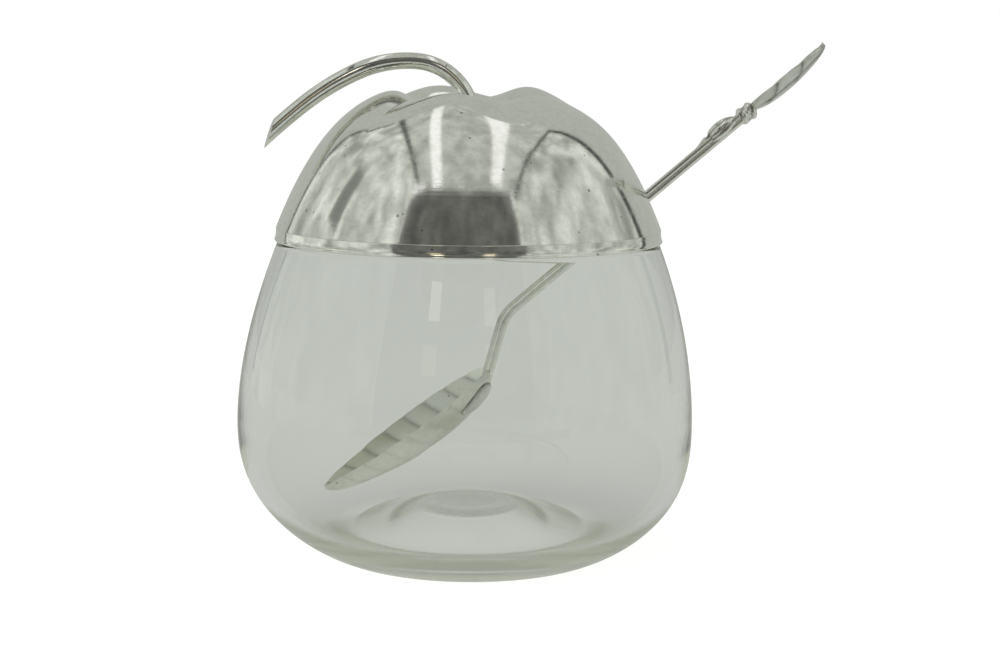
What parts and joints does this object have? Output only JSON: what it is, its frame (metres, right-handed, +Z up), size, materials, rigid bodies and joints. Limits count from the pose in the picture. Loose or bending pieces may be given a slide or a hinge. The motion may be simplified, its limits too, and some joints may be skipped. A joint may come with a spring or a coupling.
{
  "type": "honey pot",
  "caption": "Bulbous clear glass honey pot with a hinged lobed silver lid, a curved stem handle and a leaf spoon that leans out through a slot in the lid.",
  "frame": {"origin": "centre of the glass ring that the pot rests on", "axes": "+Z up along the bowl's axis, +Y towards the hinge, +X towards the spoon's slot, -Y the front"},
  "size_m": [0.1278, 0.1004, 0.1132],
  "materials": {
    "glass": "clear slightly grey-green blown glass, polished",
    "silver": "silver plate, polished, lightly tarnished",
    "cement": "plaster cement",
    "brass": "plain brass, unplated inside the lid"
  },
  "bodies": {
    "pot": {"glass_bowl": "glass", "neck_collar": "silver", "collar_cement": "cement", "hinge_knuckle_left": "silver", "hinge_knuckle_right": "silver", "hinge_pin": "silver"},
    "lid": {"lid_shell": "silver", "hinge_knuckle_lid": "silver", "stem_handle": "silver", "stem_washer": "brass", "stem_nut": "brass"},
    "spoon": {"spoon_handle": "silver", "spoon_bowl": "silver", "spoon_leaf": "silver", "spoon_knot": "silver", "spoon_bract": "silver", "spoon_calyx": "silver"}
  },
  "joints": [
    {"name": "lid_hinge", "type": "hinge", "parent": "pot", "child": "lid", "pos_m": [0, 0.04355, 0.0725], "axis": [-1, 0, 0], "range_deg": [0, 95]},
    {"name": "spoon_slide", "type": "slide", "parent": "pot", "child": "spoon", "axis": [0.7617, 0.0659, 0.6446], "range_m": [0, 0.02]}
  ]
}
